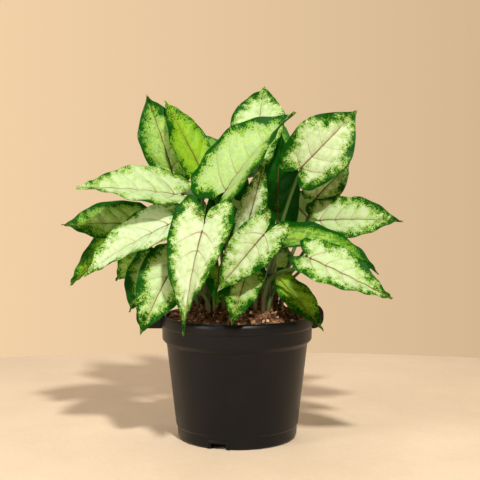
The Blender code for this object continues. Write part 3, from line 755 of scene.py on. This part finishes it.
def makeLeafSkin(name, under):
    # Syngonium blade, living leaf: waxy and thin, cream to lime in the middle with a speckled dark green
    # margin, pinkish midrib and side veins, and light shining through. Its underside is duller and greyer
    made, add = newMaterial(name)
    spot, look = (add("Attribute", {"attribute_name": layer}).outputs["Vector"]
                  for layer in ("bladePlace", "bladeLook"))
    edge, vein = (add("Attribute", {"attribute_name": layer}).outputs["Fac"]
                  for layer in ("bladeEdge", "bladeVein"))
    cream, mottleAndPaintedShade, along = add("SeparateXYZ", {0: look}).outputs
    cloud, patch, speck = (add("TexNoise", {"Vector": spot, "Scale": 10 / across, **settings})
                           for across, settings in (leaf["cloud"], leaf["patch"], leaf["speck"]))
    # millimetres from the margin, pushed in and out by the noises and the mottle, whose high values spread
    # the dark bands over the blade as painted shade
    pushed = edge
    for source, amount in zip((cloud, patch, speck, mottleAndPaintedShade), leaf["pushes"]):
        pushed = add("Math", {"operation": "MULTIPLY_ADD", 0: source, 1: amount, 2: pushed})
    tip = add("MapRange", {"Value": along, **leaf["tipPush"]})
    pushed = add("Math", {"operation": "ADD", 0: pushed, 1: tip})
    smooth = {"interpolation_type": "SMOOTHSTEP"}
    # cream to lime, in the middle; on leaves whose cream is raised, the extra pale is painted light
    inside = add("MapRange", {"Value": pushed, **smooth, **leaf["limeBand"]})
    pale = add("MapRange", {"Value": patch, **leaf["limePatch"]})
    pale = add("Math", {"operation": "SUBTRACT", 0: cream, 1: pale, "use_clamp": True})
    pale = add("Math", {"operation": "MULTIPLY", 0: pale, 1: inside})
    # green: the next band outwards, and blotches on the leaves that have little cream
    green = add("MapRange", {"Value": pushed, **smooth, **leaf["greenBand"]})
    blotch = add("MapRange", {"Value": patch, **smooth, **leaf["blotch"]})
    few = add("Math", {"operation": "MULTIPLY_ADD", 0: cream, 1: -1.3, 2: 1.2})
    few = add("Math", {"operation": "MULTIPLY", 0: few, 1: mottleAndPaintedShade, "use_clamp": True})
    green = add("Math", {"operation": "MULTIPLY_ADD", 0: blotch, 1: few, 2: green, "use_clamp": True})
    # dark green: the margin, and dots among the pale, thickest towards the margin
    margin = add("MapRange", {"Value": pushed, **smooth, **leaf["darkBand"]})
    inward = add("MapRange", {"Value": pushed, **leaf["dotBand"]})
    dot = add("MapRange", {"Value": speck, **smooth, **leaf["dot"]})
    dot = add("Math", {"operation": "MULTIPLY", 0: dot, 1: inward})
    margin = add("Math", {"operation": "MAXIMUM", 0: margin, 1: dot})
    dark = add("Mix", {"data_type": "RGBA", 0: patch, 6: leaf["dark"], 7: leaf["deep"]}).outputs[2]
    # side veins: where the vein count is near a whole number, strongest near the joint and the midrib
    toWhole = add("Math", {"operation": "PINGPONG", 0: vein, 1: 0.5})
    wide = add("MapRange", {"Value": toWhole, **smooth, "From Min": 0.02, "From Max": 0.06, "To Min": 1.0,
                            "To Max": 0.0})
    offRib = add("SeparateXYZ", {0: spot})
    offRib = add("Math", {"operation": "ABSOLUTE", 0: offRib})
    fading = add("MapRange", {"Value": offRib, "From Min": 0.1, "From Max": 1.6, "To Min": 0.8,
                              "To Max": 0.05})
    nearJoint = add("MapRange", {"Value": along, "From Min": 0.05, "From Max": 0.45, "To Min": 1.0,
                                 "To Max": 0.12})
    plain = add("Math", {"operation": "ADD", 0: cream, 1: 0.25, "use_clamp": True})
    sideVein = wide
    for factor in (fading, nearJoint, plain):
        sideVein = add("Math", {"operation": "MULTIPLY", 0: sideVein, 1: factor})
    # the midrib, from the joint until it fades before the tip
    ribHalf = add("MapRange", {"Value": along, **leaf["ribHalf"]})
    ribShare = add("Math", {"operation": "DIVIDE", 0: offRib, 1: ribHalf})
    ribLine = add("MapRange", {"Value": ribShare, **smooth, "From Min": 0.55, "From Max": 1.25,
                               "To Min": 0.95, "To Max": 0.0})
    front = add("Math", {"operation": "GREATER_THAN", 0: along, 1: -0.02})
    toTip = add("MapRange", {"Value": along, "From Min": 0.7, "From Max": 0.95, "To Min": 1.0,
                             "To Max": 0.0})
    for factor in (front, toTip):
        ribLine = add("Math", {"operation": "MULTIPLY", 0: ribLine, 1: factor})
    ribColour = add("Mix", {"data_type": "RGBA", 0: along, 6: leaf["rib"], 7: leaf["paleRib"]}).outputs[2]
    # each share lays its colour over the ones before
    colour = leaf["lime"]
    over = [(pale, leaf["cream"]), (green, leaf["green"]), (margin, dark), (sideVein, leaf["paleRib"]),
            (ribLine, ribColour)]
    if under:
        over.append((0.45, leaf["under"]))
    for share, laid in over:
        colour = add("Mix", {"data_type": "RGBA", 0: share, 6: colour, 7: laid}).outputs[2]
    cells = add("TexNoise", {"Vector": spot, "Scale": 10 / leaf["cell"], "Detail": 2})
    relief = add("Math", {"operation": "MULTIPLY_ADD", 0: cells, 1: 0.25, 2: patch})
    relief = add("Math", {"operation": "SUBTRACT", 0: relief, 1: wide})
    bump = add("Bump", {"Height": relief, "Strength": 0.5, "Distance": 0.0007, "invert": under})
    shader = add("BsdfPrincipled", {"Base Color": colour, "Roughness": 0.6 if under else 0.46, "IOR": 1.42,
                                    "Specular IOR Level": 0.17, "Normal": bump})
    glow = add("Mix", {"data_type": "RGBA", "blend_type": "MULTIPLY", 0: 1.0, 6: colour,
                       7: leaf["glow"]}).outputs[2]
    through = add("BsdfTranslucent", {"Color": glow})
    both = add("MixShader", {0: leaf["translucent"], 1: shader, 2: through})
    add("OutputMaterial", {"Surface": both})
    return made


def makeStalkSkin():
    # Syngonium stalk, living: smooth green, flushed brownish pink towards both ends, with a soft sheen.
    # Both colours are darkened as painted shade
    made, add = newMaterial("freshLeafStalk")
    along = add("Attribute", {"attribute_name": "bladeEdge"}).outputs["Fac"]
    where = add("TexCoord").outputs["Object"]
    cloud = add("TexNoise", {"Vector": where, "Scale": 1000 / leaf["stalkCloud"], "Detail": 3})
    toEnd = add("Math", {"operation": "PINGPONG", 0: along, 1: 0.5})
    flush = add("MapRange", {"Value": toEnd, "From Min": 0.12, "From Max": 0.0, "To Max": 0.6})
    flush = add("Math", {"operation": "MULTIPLY_ADD", 0: cloud, 1: 0.3, 2: flush, "use_clamp": True})
    colour = add("Mix", {"data_type": "RGBA", 0: flush, 6: leaf["stalkGreenWithPaintedShade"],
                         7: leaf["stalkPinkWithPaintedShade"]}).outputs[2]
    shader = add("BsdfPrincipled", {"Base Color": colour, "Roughness": 0.4})
    add("OutputMaterial", {"Surface": shader})
    return made


def alongOutline(index, sinus):
    # the Catmull-Rom curve through the outline's points, by index: 0 is the tip and 7 the sinus
    given = np.array(leaf["outline"], float)
    given[-1, 0] = sinus
    padded = np.vstack([2 * given[0] - given[1], given, 2 * given[-1] - given[-2]])
    whole = np.minimum(np.floor(index).astype(int), len(given) - 2)
    f = (index - whole)[:, None]
    a, b, c, d = (padded[whole + step] for step in range(4))
    return b + f / 2 * (c - a + f * (2 * a - 5 * b + 4 * c - d + f * (3 * (b - c) + d - a)))


def bladeAxes(item):
    # the blade's joint, its length, and its directions across, along and up: up is the face's look, less
    # what lies along the blade
    joint, tip, face = (np.array(item[key], float) for key in ("joint", "tip", "face"))
    length = float(np.linalg.norm(tip - joint))
    along = (tip - joint) / length
    up = unit(face - along * (face @ along))
    return joint, length, np.cross(along, up), along, up


def bladeGrid(item, number):
    # rays from the joint to the outline. With s the share of the half width and t of the length, a point
    # is joint + x * across + t * length * along + z * up, where x = s * half turned by the twist, and z is
    # the arch 4t(1-t), plus the fold |s| - 0.35 s^2, plus the margin's waves, less the veins' grooves
    joint, length, across, along, up = bladeAxes(item)
    half = item["width"] / 2
    last = len(leaf["outline"]) - 1
    index = np.linspace(0, last, leaf["halfSteps"] + 1)
    outer = alongOutline(index, item["sinus"])
    sides = np.concatenate([outer[:0:-1] * (-1, 1), outer * (item["right"], 1)])
    around = np.concatenate([index[:0:-1], index]) / (last + 1)
    ring = (np.arange(1, leaf["rings"] + 1) / leaf["rings"])[:, None]
    jags = np.sin(41 * around + 2 * number) * np.sin(17 * around - number) * np.sign(around)
    t = ring * np.where(sides[:, 1] < 0, item["lobe"], 1.0) * sides[:, 1]
    s = ring * sides[:, 0] * (1 + leaf["wobble"] * ring**4 * jags)
    s = s * (item["base"] + (1 - item["base"]) * np.clip(2 * t, 0, 1))
    wave = 2 * math.pi * (leaf["rippleWaves"] * around + 0.3 * number) + 1.1 * np.sign(sides[:, 0])
    ripple = leaf["ripple"] * ring**3 * np.sin(wave)
    ripple = ripple + leaf["fineRipple"] * ring**5 * np.sin(3.3 * wave + number)
    rise = t - leaf["veinRise"] * np.abs(s) ** 1.4
    vein = np.where(rise > 0, rise / leaf["veinStep"], 1.6 * rise / (np.abs(s) + 0.12))
    crease = np.exp(-((np.abs(vein - np.round(vein)) * 4.2) ** 2))
    groove = leaf["groove"] * np.exp(-((s * half / 1.6) ** 2))
    groove = groove * np.clip(t * 8 + 1, 0, 1) * np.clip(3 * (1 - t), 0, 1)
    quilt = leaf["quilt"] * crease * np.clip(6 * ring * (1 - ring), 0, 1)
    bow = item["arch"] * np.where(t > 0, 4 * t * (1 - t), 3 * t)
    valley = item["fold"] * half * (np.abs(s) - 0.35 * s**2)
    turn = math.radians(item["twist"]) * t
    x = s * half * np.cos(turn)
    z = bow + valley + ripple - groove - quilt + s * half * np.sin(turn)
    grid = joint + x[..., None] * across + (t * length)[..., None] * along + z[..., None] * up
    flat = np.stack([s * half, t * length], -1)
    gaps = [np.linalg.norm(row[:, None] - flat[-1][None], axis=-1).min(1) for row in flat]
    return grid, flat, np.array(gaps), vein, t, joint, up


def bladeFaces(rings, rays):
    # a fan and quads on the upper side, the rim at the outline, two walls at the sinus, and the underside,
    # where the two poles at the joint come after the points of both sides
    side = rings * rays
    topPole, bottomPole = 2 * side, 2 * side + 1
    ray = np.arange(rays - 1)
    a = (np.arange(rings - 1) * rays)[:, None] + ray
    b, c, d = a + 1, a + rays, a + rays + 1
    upper = np.stack([a, b, d, c], -1).reshape(-1, 4)
    lower = np.stack([a, c, d, b], -1).reshape(-1, 4) + side
    outer = side - rays + ray
    rim = np.stack([outer, outer + 1, outer + 1 + side, outer + side], -1)
    first = np.arange(rings - 1) * rays
    final = first + rays - 1
    sinus = np.vstack([np.stack([first, first + rays, first + rays + side, first + side], -1),
                       np.stack([final + rays, final, final + side, final + rays + side], -1),
                       [(topPole, 0, side, bottomPole), (rays - 1, topPole, bottomPole, rays - 1 + side)]])
    fanTop = np.stack([np.full(rays - 1, topPole), ray + 1, ray], -1)
    fanBottom = np.stack([np.full(rays - 1, bottomPole), ray + side, ray + 1 + side], -1)
    faces = upper.tolist() + fanTop.tolist() + rim.tolist() + sinus.tolist()
    underFaces = lower.tolist() + fanBottom.tolist()
    return faces + underFaces, [0] * len(faces) + [1] * len(underFaces)


def bladeSkin(item, number):
    # the grid moved half the thickness to both sides along its normals, and closed at the outline. The
    # thickness thins out to the margin and swells under the midrib
    grid, flat, gaps, vein, t, joint, up = bladeGrid(item, number)
    normal = unit(np.cross(np.gradient(grid, axis=1), np.gradient(grid, axis=0)))
    normal *= np.sign(np.mean(normal @ up))
    half = leaf["thickness"] / 2 * np.clip(0.35 + gaps / 6, 0, 1)
    keel = leaf["keel"] * np.exp(-((flat[..., 0] / 0.9) ** 2))
    keel = keel * np.clip(2.5 * (0.85 - t), 0, 1) * (t > -0.02)
    top = grid + normal * half[..., None]
    bottom = grid - normal * (half + keel)[..., None]
    poles = (joint + up * leaf["thickness"] / 2 - up * leaf["groove"],
             joint - up * (leaf["thickness"] / 2 + leaf["keel"] + leaf["groove"]))
    points = np.vstack([top.reshape(-1, 3), bottom.reshape(-1, 3), *poles])
    faces, slots = bladeFaces(*t.shape)

    def twice(values, pole):
        # one row for each point of the upper side, the same again for the underside, and the two poles'
        values = values.reshape(t.size, -1)
        return np.concatenate([values, values, np.array([pole, pole], float).reshape(2, -1)])

    offset = number * leaf["patternOffset"]
    spot = np.concatenate([flat / 10, np.full((*t.shape, 1), offset)], -1)  # in centimetres
    look = np.stack([np.full_like(t, item["cream"]), np.full_like(t, item["mottleAndPaintedShade"]), t], -1)
    layers = {
        "bladePlace": twice(spot, (0, 0, offset)),
        "bladeLook": twice(look, (item["cream"], item["mottleAndPaintedShade"], 0)),
        "bladeEdge": twice(gaps, float(gaps[0].mean())),
        "bladeVein": twice(vein, 0.0),
    }
    return points, faces, slots, layers


def stalkPath(item):
    # straight up out of the soil, then the cubic curve (1-u)^3 A + 3u(1-u)^2 B + 3u^2(1-u) C + u^3 D to
    # the blade's joint, which it reaches from below
    joint, _, _, along, up = bladeAxes(item)
    crownX, crownY = stems["crowns"][item["crown"]]
    angle = math.radians(item["slot"])
    x, y = crownX + leaf["stalkCircle"] * math.cos(angle), crownY + leaf["stalkCircle"] * math.sin(angle)
    start = np.array((x, y, float(soilHeight(math.hypot(x, y))) + 1))
    end = joint + 1.2 * along - 0.2 * up
    arrival = unit(0.7 * up + 0.35 * along + np.array((0, 0, 0.5)))
    second = start + (0, 0, item["rise"] * (end[2] - start[2]))
    third = end - item["reach"] * np.linalg.norm(end - start) * arrival
    u = np.linspace(0, 1, leaf["stalkSteps"])[:, None]
    curve = (1 - u) ** 3 * start + 3 * u * (1 - u) ** 2 * second + 3 * u**2 * (1 - u) * third + u**3 * end
    return np.vstack([start - (0, 0, leaf["stalkDepth"]), curve])


def stalkSkin(item):
    # a tube on the path whose radius shrinks from foot to blade and swells at the sheath in its lowest
    # third
    path = stalkPath(item)
    share = np.concatenate([[0], np.linspace(0, 1, leaf["stalkSteps"])])
    foot, end = leaf["stalkRadii"]
    radius = foot + (end - foot) * share + 0.35 * np.exp(-((share - 0.12) / 0.12) ** 2)
    points, faces = closedSkin(tubeRows(path, radius, leaf["stalkSides"]))
    return points, faces, np.append(np.repeat(share, leaf["stalkSides"]), (0, 1))


def makeLeaf(number, item, skins):
    # blade and stalk in one piece. On the stalk, bladeEdge holds the share of its length instead
    points, faces, slots, layers = bladeSkin(item, number)
    stalkPoints, stalkFaces, stalkShare = stalkSkin(item)
    blades = len(points)
    points, faces = joinSkins([(points, faces), (stalkPoints, stalkFaces)])
    slots += [2] * len(stalkFaces)
    piece = newPiece(f"leafBlade{number:02d}", points, faces, skins, slots, sharp=70)
    for name, values in layers.items():
        full = np.zeros((len(points), values.shape[1]))
        full[:blades] = values
        if name == "bladeEdge":
            full[blades:, 0] = stalkShare
        addLayer(piece, name, "FLOAT_VECTOR" if values.shape[1] == 3 else "FLOAT", full)
    place(piece, "variegated_leaf", f"leaf_{number:02d}")


skins = [makeLeafSkin("waxyLeafUpperSide", False), makeLeafSkin("mattLeafUnderside", True),
         makeStalkSkin()]
for number, item in enumerate(leaves, 1):
    makeLeaf(number, item, skins)
print("Leaves made:", len(leaves))
